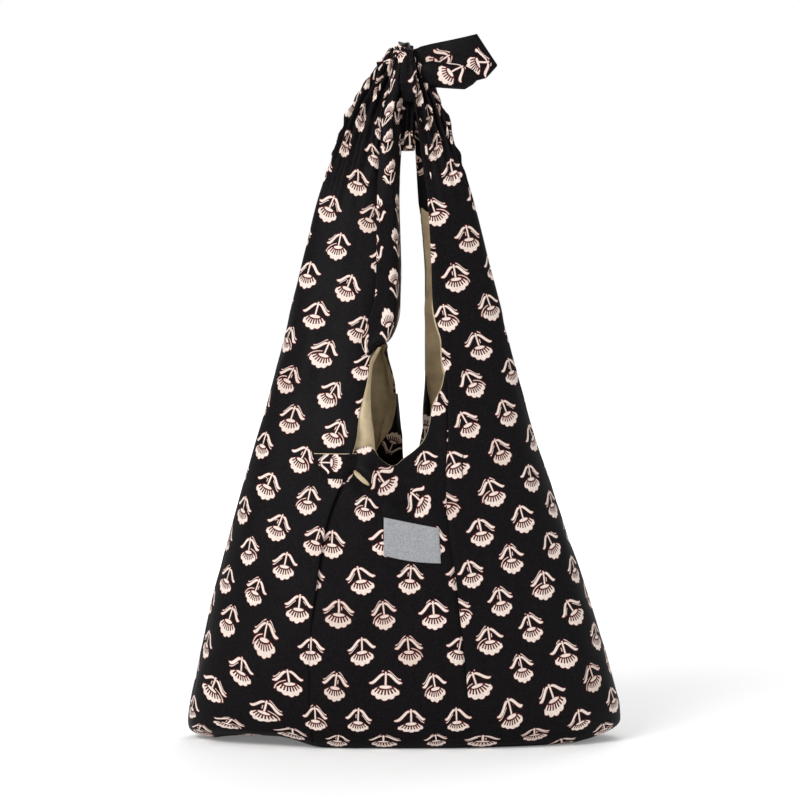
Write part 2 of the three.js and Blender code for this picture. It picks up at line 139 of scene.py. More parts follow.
# The tucks open upwards from their foot, and the cloth leans away from them. At their full width their
# layers are turned round the radius.
TUCKS = dict(
    left=Values(foot=95, full=150, lean=math.radians(17)),
    right=Values(foot=35, full=95, lean=math.radians(16)),
)
CREASE_RADIUS = 0.25
TUCK_RADIUS = 0.85
LEAST_LAP = 3
WIDEST_LAP = 14
LAP_AT_MOUTH, LAP_IN_STRAP = 0.5, 0.9  # how much less a centre panel laps under there
SET_IN = 4  # how many radii of its tucks a centre panel is set in behind the side strips
NEARER = 0.45  # how much less so at the mouth
TUCK_TOPS = dict(front_left=262, front_right=346, back_left=262, back_right=262)
TUCK_BLEND = 6  # a tuck's crease becomes a hem over this much height on either side of its top

HEM_RADIUS = 0.7
HEM_WIDTH = 6
ROLLED = Values(z=484, blend=14, radius=1.6, width=18)  # the right strap's back half is rolled in above z
LINING_DEPTH = 2.0
LINING_FOLD = 3.5  # how much further in its soft folds lie
LINING_SCALE = (0.07, 0.07, 0.02)
LINING_CLEAR = (4, 16)  # past a tuck's lap it comes out from behind the centre panel over this span
BEHIND_GAP = 0.4  # and there it lies further in than the panel by this much
LINING_PEEP = 0.8  # how far the lining shows past the mouth's hem and the edges by it
PEEP_TOPS = dict(front_left=395, front_right=395, back_left=345, back_right=395)  # and up to where
PEEP_BLEND = 20

# The base leaves the ground at its front left edge and at its right corner.
LIFTS = table(
    "height x reach front_only",
    (9, -72, -45, True),
    (5.5, 150, 50, False),
)
LIFT_TOP = 90
LIFT_DEPTH = 50

# Spans of height over which something comes in or fades out.
SPANS = dict(
    crumpled_foot=(0, 24),
    unevenness=(-6, 10),
    long_folds=(8, 60),
    lap_at_mouth=(225, 262),
    lap_in_strap=(262, 340),
    flap_print=(250, 330),
    lower_print=(250, 450),
    behind_panel=(268, 300),
    nearer_centre=(280, 340),
    calmer_straps=(330, 420),
    pleats=(470, 600),
    gathered_print=(500, 590),
    puckers=(505, 560),
    past_puckers=(610, 630),
)

# How many cells the meshes have, and how many places their lengths are measured at.
ACROSS_SIDE = 56
BEND_COLUMN = 22  # the column of the back's left strip where it starts to turn
ACROSS_CENTRE = 44
ACROSS_TURN = 5
BODY_ROWS = 96
STRAP_ROWS = 120
BASE_ROWS = 24
MERIDIAN_PLACES = 2000
LINE_PLACES = 400
ACROSS_PLACES = 59

STRAP_FOOT = 300
STRAP_TOP = 636
CROWDING = 1.15  # exponent that sets the rows closer together towards the base

# The print: sprigs in rows, every other row set half a step across.
PITCH_ACROSS = 43.5
PITCH_UP = 32.0
PRINT_SHIFT = (17.9, -15.9)
SPRIG_SIZE = (0.815, 0.90)
BACK_RISE = 7.6  # the back's print comes up from under the base by this much more
BACK_RIGHT_DROP = 11  # how much lower the print lies on the right strap's back half
FOOT_CRUMPLE = 18.4  # how much cloth the small crumples round the base's edge take up
GATHERED = 0.8  # how much more cloth the pleats take up at the knot
PULL = 6  # how far small gathers shift the print sideways
PULL_SCALE = (0.022, 0.022, 0.012)
LEAN_BELOW, LEAN_ABOVE = 25, 27  # a tuck's print starts to lean over this span round its foot
LEAN_FADE = 130


def columns(rows):
    """A table as one array for each of its columns."""
    arrays = {name: np.array([getattr(row, name) for row in rows], float) for name in vars(rows[0])}
    return Values(**arrays)


def spline(keys, values, at):
    """Values read at any key, smoothly from row to row. Values may have more axes than keys."""
    keys, at = np.asarray(keys, float), np.asarray(at, float)
    values = np.asarray(values, float)
    slopes = np.empty_like(values)
    wide = keys[2:] - keys[:-2]
    tail = (1,) * (values.ndim - 1)
    slopes[1:-1] = (values[2:] - values[:-2]) / wide.reshape(-1, *tail)
    slopes[0] = (values[1] - values[0]) / (keys[1] - keys[0])
    slopes[-1] = (values[-1] - values[-2]) / (keys[-1] - keys[-2])
    at = np.clip(at, keys[0], keys[-1])
    i = np.clip(np.searchsorted(keys, at, side="right") - 1, 0, len(keys) - 2)
    span = np.reshape(keys[i + 1] - keys[i], (*at.shape, *tail))
    t = np.reshape(at - keys[i], (*at.shape, *tail)) / span
    start = values[i] * (1 + 2 * t) * (1 - t) ** 2 + slopes[i] * span * t * (1 - t) ** 2
    end = values[i + 1] * (3 - 2 * t) * t**2 - slopes[i + 1] * span * (1 - t) * t**2
    return start + end


SECTION = columns(SECTIONS)
STRIPS = ("front_left", "front_right", "back_left", "back_right")
SIDES = ("front", "back")
WAY = dict(front=1, back=-1)
TURN = columns(LEFT_TURN)


def section(name, z):
    return spline(SECTION.z, getattr(SECTION, name), z)


def turn_of(name, z):
    return spline(TURN.z, getattr(TURN, name), z)


def smooth(value):
    value = np.clip(value, 0, 1)
    return value * value * (3 - 2 * value)


def ramp(value, start, end):
    return smooth((value - start) / (end - start))


def over(span, z):
    """How far a height is over a named span, from 0 to 1."""
    return ramp(z, *SPANS[span])


def bell(value):
    return np.exp(-value * value)


def power(value, roundness=ROUNDNESS):
    return np.sign(value) * np.abs(value) ** (2 / roundness)


def lerp(a, b, t):
    return a + (b - a) * t


def shares(count):
    """Even shares from 0 to 1, one more than count."""
    return np.linspace(0, 1, count + 1)


def stacked(*parts):
    """Coordinates or other parts put together as the last axis."""
    return np.stack(parts, axis=-1)


def unit(vectors):
    return vectors / np.maximum(np.linalg.norm(vectors, axis=-1, keepdims=True), 1e-9)


def lengths_along(points):
    """How far along its line each point is."""
    steps = np.linalg.norm(np.diff(points, axis=-2), axis=-1)
    return np.cumsum(np.concatenate([0 * steps[..., :1], steps], axis=-1), axis=-1)


def flank_of(name):
    return "left" if name.endswith("left") else "right"


def side_of(name):
    return "front" if name.startswith("front") else "back"


def inner_of(name):
    """The column of the sections that a strip's inner edge or crease follows."""
    return "crease" if name == "front_right" else name


def facing(name):
    """1 where a strip's normals point out of the bag, and -1 where they point in."""
    return 1 if name in ("front_left", "back_right") else -1


def depth_at(x, z, side):
    """The depth of the bag's outer face at x and z, in front or behind."""
    left, right = section("left", z), section("right", z)
    share = np.abs(x - (left + right) / 2) / ((right - left) / 2)
    return section(side, z) * np.maximum(1 - share**ROUNDNESS, 0) ** (1 / ROUNDNESS)


def level_wall(z, flank, side, inner, count):
    """The outer face at one height from a flank in to inner, evenly turned, as rows of x, y and hang."""
    middle = (section("left", z) + section("right", z)) / 2
    half = section(flank, z) - middle
    last = np.arccos(np.clip((inner - middle) / half, 0, 1) ** (ROUNDNESS / 2))
    angle = np.linspace(0, last, count + 1)
    x = middle + half * power(np.cos(angle))
    y = section(side, z) * power(np.sin(angle))
    return stacked(x, y, 0 * x)


def respaced(points, count):
    """Evenly spaced places along a line of points."""
    along = lengths_along(points)
    at = np.linspace(0, along[-1], count + 1)
    return stacked(*(np.interp(at, along, column) for column in points.T))


def turned_wall(z):
    """The back's left wall at one height: round to the bend, and then the part that turns to the front."""
    bend, inner = section("bend", z), section("back_left", z)
    turn, flap, sag = (turn_of(name, z) for name in ("turn", "flap", "sag"))
    t = shares(FLAP_CELLS)
    angle = np.pi * turn * t
    widest = math.sin(min(math.pi * turn, math.pi / 2))
    reach = power(np.sin(angle) / widest, FLAP_ROUNDNESS) if turn > FLAP_LEAST else t
    x = lerp(bend, inner, reach)
    hang = sag * smooth(t) / 2
    rise = depth_at(x, z, "back") + FLAP_GAP / 2
    y = rise * power(np.cos(angle), FLAP_ROUNDNESS) - FLAP_GAP / 2 - SAG_LEAN * hang
    points = stacked(x, y, -hang)
    if flap > FLAP_LEAST:
        end = points[-1] + [-flap, -SAG_LEAN * sag / 2, -sag / 2]
        points = np.vstack([points, end])
    wall_part = level_wall(z, "left", "back", bend, BEND_COLUMN)
    return np.vstack([wall_part, respaced(points, ACROSS_SIDE - BEND_COLUMN)[1:]])


def wall(name, heights):
    """A side strip's outer face as rows of points, from the flank in to its crease or inner edge."""
    levels = []
    for z in SECTION.z:
        if name == "back_left":
            levels.append(turned_wall(z))
        else:
            inner = section(inner_of(name), z)
            levels.append(level_wall(z, flank_of(name), side_of(name), inner, ACROSS_SIDE))
    points = spline(SECTION.z, np.array(levels), heights)
    points[..., 2] += heights[:, None]
    return points


def normals_of(grid):
    """The directions across a grid of points, on the right of its rows' way as they go up."""
    return unit(np.cross(np.gradient(grid, axis=1), np.gradient(grid, axis=0)))


def outward(points, way):
    """The directions out of the bag at a side strip's points. Both strips of a flank agree along it."""
    out = normals_of(points) * way
    out[:, 0] = [math.copysign(1, points[0, 0, 0]), 0, 0]
    return out


def lift_of(x, y):
    total = np.zeros_like(x)
    for row in LIFTS:
        across = smooth((x - row.x) / row.reach)
        forward = smooth(-y / LIFT_DEPTH) if row.front_only else 1
        total += row.height * across * forward
    return total


def lifted(points):
    share = np.maximum(1 - points[..., 2] / LIFT_TOP, 0)
    points[..., 2] += lift_of(points[..., 0], points[..., 1]) * share**2
    return points


# Soft folds of the cloth: ridges from one place to another, with their width and height. A trough has a
# height below nothing.
FRONT_FOLDS = table(
    "x z to_x to_z width height",
    (-118, 330, -150, 120, 16, 2.6),
    (-95, 300, -112, 110, 12, -2.0),
    (-70, 420, -82, 280, 9, -1.8),
    (90, 330, 130, 110, 15, 2.4),
    (62, 420, 84, 200, 11, -2.0),
    (40, 300, 60, 130, 9, 1.6),
    (-50, 244, -12, 212, 5, -4.0),
    (-46, 258, -2, 222, 5, 4.5),
    (-34, 262, 4, 236, 3.5, -3.0),
    (-20, 236, 30, 220, 7, 4.0),
    (-14, 220, 18, 211, 4.5, -4.0),
    (-10, 150, -40, 40, 17, -1.6),
    (60, 120, 20, 30, 17, 1.4),
    (-160, 90, -90, 20, 15, 1.6),
    (165, 95, 100, 20, 15, 1.8),
)
BACK_FOLDS = table(
    "x z to_x to_z width height",
    (-100, 320, -130, 110, 15, 2.2),
    (-60, 280, -84, 90, 12, -2.0),
    (78, 330, 110, 100, 14, -2.2),
    (50, 300, 60, 110, 12, 2.0),
    (0, 190, 20, 50, 17, 1.8),
    (-150, 80, -70, 25, 15, 1.6),
)
FOLD_DEPTHS = (2, 18)  # they fade in over this much depth in front of the flanks or behind them
FOLD_RUN_OUT = 0.35  # over this share of its length a fold runs out at either end
FOLD_END = 0.15  # and this is how far it has come in there

# The cloth's own unevenness: folds that run down from the apex, with how high they are, how many go round
# it, how fast they change on their way down, and how the back's differ from the front's.
UNEVEN = table(
    "height turns down side shift",
    (2.4, 11, 0.006, 1.3, 0),
    (0.9, 30, 0.014, 2, 7),
)
APEX = Values(x=8, z=690)
SIDE_BLEND = 12
FOOT_SHARE = 0.35  # how much of them is left at the foot
STRAP_CALM = 0.6  # how much less there is of all unevenness in the straps
CRUMPLE = Values(height=0.6, size=24)

# How many pleats each half of a strap is drawn into at the knot, and how far they are shifted. They come
# in over a small share of the way across from the flank.
PLEATS = dict(front_left=(5.6, 0.1), front_right=(5.4, 0.6), back_left=(5.3, 0.1), back_right=(3.4, 0.6))
PLEAT = Values(height=3.1, sharpness=0.8, wander=0.35, across=3, up=0.012, flank=0.08)
PUCKER = Values(height=4.2, least=0.4, reach=0.2, across=5, up=0.1)


def fold_height(rows, x, z):
    total = np.zeros_like(x)
    for row in rows:
        along = np.array([row.to_x - row.x, row.to_z - row.z], float)
        length = np.linalg.norm(along)
        along /= length
        dx, dz = x - row.x, z - row.z
        t = (dx * along[0] + dz * along[1]) / length
        off = dx * along[1] - dz * along[0]
        ends = smooth(t / FOLD_RUN_OUT + FOLD_END) * smooth((1 - t) / FOLD_RUN_OUT + FOLD_END)
        total += row.height * bell(off / row.width) * ends
    return total


def noise_at(places):
    """Smooth noise at rows of places, between about -1 and 1."""
    flat = places.reshape(-1, 3)
    return np.array([noise.noise(Vector(p)) for p in flat]).reshape(places.shape[:-1])


def relief(points):
    """How far the cloth stands out from its smooth shape."""
    x, y, z = points[..., 0], points[..., 1], points[..., 2]
    radius = np.hypot(x - APEX.x, z - APEX.z)
    turn = np.arctan2(x - APEX.x, APEX.z - z)
    side = np.tanh(y / SIDE_BLEND)
    total = 0
    for row in UNEVEN:
        places = stacked(turn * row.turns, radius * row.down, side * row.side + row.shift)
        total = total + row.height * noise_at(places)
    total *= lerp(FOOT_SHARE, 1, over("long_folds", z))
    total += CRUMPLE.height * noise_at(points / CRUMPLE.size)
    total += ramp(-y, *FOLD_DEPTHS) * fold_height(FRONT_FOLDS, x, z)
    total += ramp(y, *FOLD_DEPTHS) * fold_height(BACK_FOLDS, x, z)
    return total * over("unevenness", z) * (1 - STRAP_CALM * over("calmer_straps", z))


def strap_noise(folds, share, z, phase):
    """Smooth noise over a strap, by the share of the way across it and the height."""
    return noise_at(stacked(share * folds.across, z * folds.up, share * 0 + phase))


def gather(points, share, count, phase):
    """The pleats of a strap that is drawn into the knot, by the share of the way across it."""
    z = points[..., 2]
    wander = PLEAT.wander * strap_noise(PLEAT, share, z, phase)
    wave = np.cos(2 * np.pi * (share * count + wander + phase))
    fold = np.sign(wave) * np.abs(wave) ** PLEAT.sharpness
    return PLEAT.height * fold * over("pleats", z)


def ruffles(share, z, phase):
    """Short puckers across a strap on its way into the knot, deepest at its flank."""
    waves = PUCKER.height * strap_noise(PUCKER, share, z, phase)
    flank_share = lerp(PUCKER.least, 1, bell(share / PUCKER.reach))
    return waves * flank_share * over("puckers", z) * (1 - over("past_puckers", z))


def pulled(points):
    """How far small gathers shift the print sideways."""
    return PULL * noise_at(points * PULL_SCALE)


def tuck_radius(z, flank):
    tuck = TUCKS[flank]
    return CREASE_RADIUS + TUCK_RADIUS * ramp(z, tuck.foot, tuck.full)


def tuck_depth(z, flank):
    tuck = TUCKS[flank]
    return LEAST_LAP + 0.5 * math.tan(tuck.lean) * np.maximum(z - tuck.foot, 0)


def edge_turn(points, radius, width, way):
    """Extra columns after a grid's last one: a half turn inwards and a short way back. Way is 1 where
    the grid's normals point out of the bag and -1 where they point in."""
    edge = points[:, -1]
    out = normals_of(points)[:, -1] * way
    ahead = unit(edge - points[:, -3])
    radius, width = (np.broadcast_to(value, len(points))[:, None] for value in (radius, width))
    steps = []
    for angle in np.linspace(0, np.pi, ACROSS_TURN + 1)[1:]:
        steps.append(edge + ahead * radius * math.sin(angle) - out * radius * (1 - math.cos(angle)))
    for share in (0.5, 1.0):
        steps.append(edge - ahead * width * share - out * 2 * radius)
    return np.stack(steps, axis=1)


def strip_heights():
    body = shares(BODY_ROWS) ** CROWDING * STRAP_FOOT
    strap = np.linspace(STRAP_FOOT, STRAP_TOP, STRAP_ROWS + 1)[1:]
    return np.concatenate([body, strap])


HEIGHTS = strip_heights()


def meridian(z):
    """How far up the cloth a height is, round the base's edge. Small crumples take up cloth there."""
    steps = np.linspace(0, STRAP_TOP, MERIDIAN_PLACES)
    slope = np.gradient(section("front", steps), steps)
    along = np.concatenate([[0], np.cumsum(np.hypot(np.diff(steps), np.diff(steps) * slope[1:]))])
    return np.interp(z, steps, along) + FOOT_CRUMPLE * over("crumpled_foot", z)


def centre_length(x, z, side):
    """How far across the cloth x is from the middle, at a height."""
    xs = x[..., None] * shares(ACROSS_PLACES)
    ys = depth_at(xs, z[..., None] + 0 * xs, side)
    return np.hypot(np.diff(xs, axis=-1), np.diff(ys, axis=-1)).sum(axis=-1) * np.sign(x)


def turned(across, up, pivot, angle):
    """Places on the cloth turned about a pivot."""
    dx, dz = across - pivot[0], up - pivot[1]
    return (
        pivot[0] + dx * math.cos(angle) - dz * math.sin(angle),
        pivot[1] + dx * math.sin(angle) + dz * math.cos(angle),
    )


def strip_print(name, points):
    """Where each point of a side strip is on the printed cloth. Above the foot of its tuck a strip's
    print leans with its flank, and below it the lean fades out towards the middle."""
    flank, side, crease = flank_of(name), side_of(name), inner_of(name)
    sign = -1 if flank == "left" else 1
    tuck = TUCKS[flank]
    z = np.broadcast_to(HEIGHTS[:, None], points.shape[:2])
    along = lengths_along(points)
    up = meridian(z)
    foot = np.array([tuck.foot], float)
    foot_across = centre_length(section(crease, foot), foot, side)[0]
    foot_row = int(np.argmin(np.abs(HEIGHTS - foot)))
    crease_across = centre_length(section(crease, HEIGHTS), HEIGHTS, side)[:, None]
    from_crease = along[:, ACROSS_SIDE : ACROSS_SIDE + 1] - along
    upright = crease_across + sign * from_crease
    leaning = section(flank, z) - sign * along
    leaning += foot_across - leaning[foot_row, ACROSS_SIDE]
    middle = leaning[:, ACROSS_SIDE // 2, None]
    leaning = middle + (leaning - middle) * (1 + GATHERED * over("gathered_print", z))
    leaning, leaning_up = turned(leaning, up, (foot_across, meridian(foot)[0]), -sign * tuck.lean)
    if name == "back_left":
        past_bend = np.maximum(along - along[:, BEND_COLUMN, None], 0)
        loose = over("flap_print", z)
        slope = math.sin(tuck.lean)
        leaning += FLAP_GATHER * loose * past_bend
        leaning_up -= slope * loose * past_bend
        shift = FLAP_SHIFT + slope * (np.maximum(z, FLAP_FOOT) - FLAP_MIDDLE)
        leaning += shift * loose * smooth(past_bend / FLAP_EASE)
    if name == "back_right":
        leaning_up = leaning_up + BACK_RIGHT_DROP * over("lower_print", z)
    share = ramp(z, tuck.foot - LEAN_BELOW, tuck.foot + LEAN_ABOVE)
    weight = lerp(smooth(from_crease / LEAN_FADE), 1, share)
    return lerp(upright, leaning, weight), lerp(up, leaning_up, weight)


def flipped(across, up):
    """The back's print: the cloth comes up the back from under the base."""
    return across, BACK_RISE - up


def strip_surface(name):
    """A side strip with its strap's half, up to its edges: points, and the directions out of the bag."""
    smooth_points = wall(name, HEIGHTS)
    share = shares(ACROSS_SIDE) + 0 * HEIGHTS[:, None]
    out = outward(smooth_points, facing(name))
    count, phase = PLEATS[name]
    pleats = gather(smooth_points, share, count, phase) * ramp(share, 0, PLEAT.flank)
    puckers = ruffles(share, smooth_points[..., 2], phase)
    return smooth_points + out * (relief(smooth_points) + pleats + puckers)[..., None], out


def in_tuck(name):
    """Where a strip's edge is the crease of a tuck and not a hem, by row."""
    return 1 - ramp(HEIGHTS, TUCK_TOPS[name] - TUCK_BLEND, TUCK_TOPS[name] + TUCK_BLEND)


def strip(name):
    """A side strip with its turned edge: points, places on the cloth, and its facing."""
    points = strip_surface(name)[0]
    share = in_tuck(name)
    flank = flank_of(name)
    radius = lerp(HEM_RADIUS, tuck_radius(HEIGHTS, flank), share)
    width = lerp(HEM_WIDTH, np.minimum(tuck_depth(HEIGHTS, flank), WIDEST_LAP), share)
    if name == "back_right":
        rolled = ramp(HEIGHTS, ROLLED.z, ROLLED.z + ROLLED.blend)
        radius, width = lerp(radius, ROLLED.radius, rolled), lerp(width, ROLLED.width, rolled)
    points = np.concatenate([points, edge_turn(points, radius, width, facing(name))], axis=1)
    across, up = strip_print(name, points)
    across = across + pulled(points)
    if side_of(name) == "back":
        across, up = flipped(across, up)
    return lifted(points), stacked(across, up), facing(name)


def line_through(points, count):
    """Evenly spaced places along a smooth line through points."""
    along = lengths_along(points)
    return respaced(spline(along, points, np.linspace(0, along[-1], LINE_PLACES)), count)


def patch(bottom, top, left, right):
    """A grid of places in x and z between four lines that meet at their ends."""
    t = shares(len(bottom) - 1)[None, :, None]
    s = shares(len(left) - 1)[:, None, None]
    ruled_up = lerp(bottom[None], top[None], s)
    ruled_across = lerp(left[:, None], right[:, None], t)
    corners = lerp(lerp(bottom[0], bottom[-1], t), lerp(top[0], top[-1], t), s)
    return ruled_up + ruled_across - corners


def centre_places(side):
    """The centre panel's places in x and z. Its edges lie under the side strips."""
    mouth = {"front": FRONT_MOUTH, "back": BACK_MOUTH}[side]
    points = np.array([[row.x, row.z] for row in mouth], float)
    s = shares(BODY_ROWS)

    def edge(flank, top, way):
        z = s**CROWDING * top
        lap = tuck_depth(z, flank) * (1 - LAP_IN_STRAP * over("lap_in_strap", z))
        lap *= 1 - LAP_AT_MOUTH * over("lap_at_mouth", z)
        return stacked(section(inner_of(f"{side}_{flank}"), z) + way * lap, z)

    left = edge("left", points[0, 1], -1)
    right = edge("right", points[-1, 1], 1)
    points[0], points[-1] = left[-1], right[-1]
    top = line_through(points, ACROSS_CENTRE)
    bottom = lerp(left[0], right[0], shares(ACROSS_CENTRE)[:, None])
    return patch(bottom, top, left, right)


def set_in(z, across=1.0):
    """How far the centre panels are set in behind the side strips, by the share of the way across."""
    radius = lerp(tuck_radius(z, "left"), tuck_radius(z, "right"), across)
    return SET_IN * radius * (1 - NEARER * over("nearer_centre", z))


# Where the cloth below the mouth is pulled round, by how much its print moves.
PRINT_PULLS = table(
    "x z radius right up",
    (21, 251, 26, -3, 8),
    (12, 222, 26, 10, 3),
    (-19, 240, 24, 0, -8),
)


def centre_surface(side, depth=0.0):
    """A centre panel up to its hem: points, and their x and z before the folds."""
    places = centre_places(side)
    x, z = places[..., 0], places[..., 1]
    smooth_points = stacked(x, depth_at(x, z, side) + WAY[side] * set_in(z, shares(ACROSS_CENTRE)), z)
    out = normals_of(smooth_points) * WAY[side]
    return smooth_points + out * (relief(smooth_points) - depth)[..., None], x, z


def pulled_print(across, up, x, z):
    """The front's print, moved where the cloth is pulled round."""
    for row in PRINT_PULLS:
        near = bell(np.hypot(x - row.x, z - row.z) / row.radius)
        across, up = across - row.right * near, up - row.up * near
    return across, up


def centre(side):
    """A centre panel with the mouth's hem: points, places on the cloth, and its facing."""
    way = WAY[side]
    points, x, z = centre_surface(side)
    across, up = centre_length(x, z, side) + pulled(points), meridian(z)
    across, up = pulled_print(across, up, x, z) if side == "front" else flipped(across, up)
    hem = edge_turn(points.swapaxes(0, 1), HEM_RADIUS, HEM_WIDTH, -way).swapaxes(0, 1)
    rise = np.arange(1, len(hem) + 1)[:, None] * way
    points = np.concatenate([points, hem])
    across = np.concatenate([across, across[-1:] + 0 * rise])
    up = np.concatenate([up, up[-1:] + rise])
    return lifted(points), stacked(across, up), way


def base_of(strips, centres):
    """The base, straight across from the front's lowest row to the back's."""
    rows = []
    for side in SIDES:
        left = strips[f"{side}_left"][0][0, : ACROSS_SIDE + 1]
        right = strips[f"{side}_right"][0][0, : ACROSS_SIDE + 1]
        rows.append(np.vstack([left, centres[side][0][0, 1:-1], right[::-1]]))
    share = shares(BASE_ROWS)[:, None, None]
    points = lerp(rows[0][None], rows[1][None], share)
    points[1:-1, 1:-1, 2] = np.maximum(points[1:-1, 1:-1, 2], 0)
    up = -(points[..., 1] - rows[0][:, 1].min())
    return points, stacked(points[..., 0], up), -1


def shift_of():
    """From the tables' x to the frame's, by the CAD cloth's middle."""
    low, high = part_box("outer_cloth")
    return (low.x + high.x) / 2 - MM * (SECTION.left.min() + SECTION.right.max()) / 2


SHIFT = shift_of()


def linked(name, data):
    """A new object in the scene."""
    item = bpy.data.objects.new(name, data)
    bpy.context.scene.collection.objects.link(item)
    return item


def cloth_object(name, grids):
    """One mesh of grids of points, each with its places on the cloth and the way that it faces."""
    vertices, faces, prints = [], [], []
    start = 0
    for points, places, way in grids:
        rows, count = points.shape[:2]
        number = start + np.arange(rows * count).reshape(rows, count)
        ring = [number[:-1, :-1], number[:-1, 1:], number[1:, 1:], number[1:, :-1]]
        if way < 0:
            ring.reverse()
        face = stacked(*(corner.ravel() for corner in ring))
        faces.append(face)
        prints.append(places.reshape(-1, 2)[face.ravel() - start])
        vertices.append(points.reshape(-1, 3) * MM + [SHIFT, 0, 0])
        start += rows * count
    mesh = bpy.data.meshes.new(name)
    mesh.from_pydata(np.concatenate(vertices).tolist(), [], np.concatenate(faces).tolist())
    layer = mesh.uv_layers.new(name="print")
    layer.data.foreach_set("uv", np.concatenate(prints).astype(np.float32).ravel())
    mesh.shade_smooth()
    mesh.update()
    return linked(name, mesh)


def welded(name, grids):
    """A cloth object whose vertices are joined where its grids meet."""
    item = cloth_object(name, grids)
    work = bmesh.new()
    work.from_mesh(item.data)
    bmesh.ops.remove_doubles(work, verts=work.verts, dist=WELD)
    work.to_mesh(item.data)
    work.free()
    return item


# Small turns of cloth at the mouth, by height: where each reaches on its left and on its right. The lens is
# the small gap at the corner of the front's band.
BACK_TURN_LEFT = table(
    "z left right",
    (236, -32, -2), (244, -32, -2), (255, -30, -1.9), (263, -27.4, -2.4), (270, -24, -2.6),
    (278, -18.4, -2.8), (285, -13.7, -3.8), (293, -11.3, -4.7), (301, -9.5, -5.4), (308, -8.5, -6.1),
    (318, -8.1, -7.1),
)
BACK_TURN_RIGHT = table(
    "z left right",
    (262, 12, 18), (274, 14.2, 19.8), (284, 16.1, 21.7), (294, 17, 24.1), (302, 17.3, 24.1),
    (310, 17.6, 23.2), (318, 18, 21.5), (326, 18.5, 20.3), (335, 18.9, 19.4),
)
FRONT_CURL = table(
    "z left right",
    (258, -44.4, -26.9), (277, -45.6, -28.3), (289, -46, -29.6), (299, -44.6, -31), (315, -39.8, -31.9),
    (330, -36.2, -31.5), (346, -33.2, -29.6), (354, -30, -26), (362, -25, -22),
)
FRONT_BAND = table(
    "z left right",
    (240, -74, -52), (248, -80, -47), (257, -86, -44), (265.5, -88, -42.5),
)
LENS = table(
    "z left right",
    (237.5, -34, -32), (240, -38.5, -31), (243, -42, -32), (246, -45, -35.5), (248.7, -46.7, -40),
    (251, -46.8, -45),
)
LENS_LEAN = (-5.4, 1.1)  # how much deeper than a centre panel it lies on its left and on its right
PANEL_ROWS = 47
PANEL_ACROSS = 15
PANEL_SET_IN = 1.5  # how much further than a centre panel they are set in behind it
PANEL_GAP = 3.0
# How far forward the back's turns lean on their left and on their right, and how far they bulge between.
BACK_TURNS = dict(
    left=Values(lean=(7.5, 0), bulge=2.2),
    right=Values(lean=(0, 4.5), bulge=1.2),
)
BAND = Values(sunk=-1.2, proud=2.8, rise_across=0.25, rise_up=0.35, under=0.72)
CURL = Values(set_in=1.2, gap=1.6, depth=11, sharpness=2.6)
HEM_GAP = 0.6  # how far the lining is behind the band's hem, and how far it shows above it


def panel(rows, depth, grow_left=0.0, grow_right=0.0):
    """A patch between its table's sides. depth gives y from x, z and the shares across and up."""
    rows = columns(rows)
    z = lerp(rows.z[0], rows.z[-1], shares(PANEL_ROWS))[:, None]
    across = shares(PANEL_ACROSS) + 0 * z
    left = spline(rows.z, rows.left, z) - grow_left
    right = spline(rows.z, rows.right, z) + grow_right
    up = shares(PANEL_ROWS)[:, None] + 0 * across
    x, z = lerp(left, right, across), z + 0 * across
    points = stacked(x, depth(x, z, across, up), z)
    return points, points[..., ::2], 1


def behind_panel(z):
    """How much deeper the mouth's turns lie where they are behind a centre panel."""
    return (set_in(z) + PANEL_SET_IN) * (1 - over("behind_panel", z))


def back_turn(flank, gap=0.0):
    """The depth of a turn of the back's cloth, or of its lining at a gap behind it."""
    turn = BACK_TURNS[flank]

    def depth(x, z, across, up):
        forward = PANEL_GAP + lerp(*turn.lean, across) + turn.bulge * np.sin(np.pi * across)
        return depth_at(x, z, "back") - behind_panel(z) - forward + gap

    return depth


def front_curl(x, z, across, up):
    """The lining's edge at the left strap's foot, which curls back into the mouth."""
    further = CURL.gap + CURL.depth * across ** CURL.sharpness
    return depth_at(x, z, "front") + behind_panel(z) * CURL.set_in + further


def front_band(x, z, across, up):
    """The front's hem, turned out at its left corner. It stands proud of the strap and runs out in it."""
    rising = smooth(across / BAND.rise_across) * smooth(up / BAND.rise_up)
    going_under = ramp(across, BAND.under, 1)
    face = depth_at(x, z, "front")
    proud = lerp(BAND.sunk, BAND.proud, rising) * (1 - going_under)
    proud += relief(stacked(x, face, z))
    return face - proud + set_in(z) * going_under


def front_band_hem(x, z, across, up):
    return front_band(x, z, across, lerp(BAND.rise_up, 1, up)) + HEM_GAP


def front_lens(x, z, across, up):
    """The small gap at the band's corner, where the lining shows."""
    return depth_at(x, z, "front") + set_in(z) + lerp(*LENS_LEAN, across)


def mouth_turns():
    """The turned-in print at the mouth's back, and the front's band at its left corner."""
    left = printed(panel(BACK_TURN_LEFT, back_turn("left")), math.pi + 0.35, (-11.5, 271), gathered=1.25)
    right = printed(panel(BACK_TURN_RIGHT, back_turn("right")), math.pi, (19, 285))
    band = printed(panel(FRONT_BAND, front_band), -math.pi / 2, (-67.5, 257.5), gathered=1.25)
    return [left, right, band]


def mouth_lining():
    """The lining that shows in the turns at the mouth."""
    left = panel(BACK_TURN_LEFT, back_turn("left", gap=0.3), grow_left=1.4)
    right = panel(BACK_TURN_RIGHT, back_turn("right", gap=0.5), grow_right=0.9)
    hem = panel([Values(**{**vars(row), "z": row.z + HEM_GAP}) for row in FRONT_BAND[1:]], front_band_hem)
    return [left, right, hem, panel(FRONT_CURL, front_curl), panel(LENS, front_lens)]


def bag_grids(make_strip, make_centre, rise=0.0):
    """The four side strips, the two centre panels, and the base, which lies higher by rise."""
    strips = {name: make_strip(name) for name in STRIPS}
    centres = {side: make_centre(side) for side in SIDES}
    base, places, way = base_of(strips, centres)
    base[..., 2] += rise
    return [*strips.values(), *centres.values(), (base, places, way)]


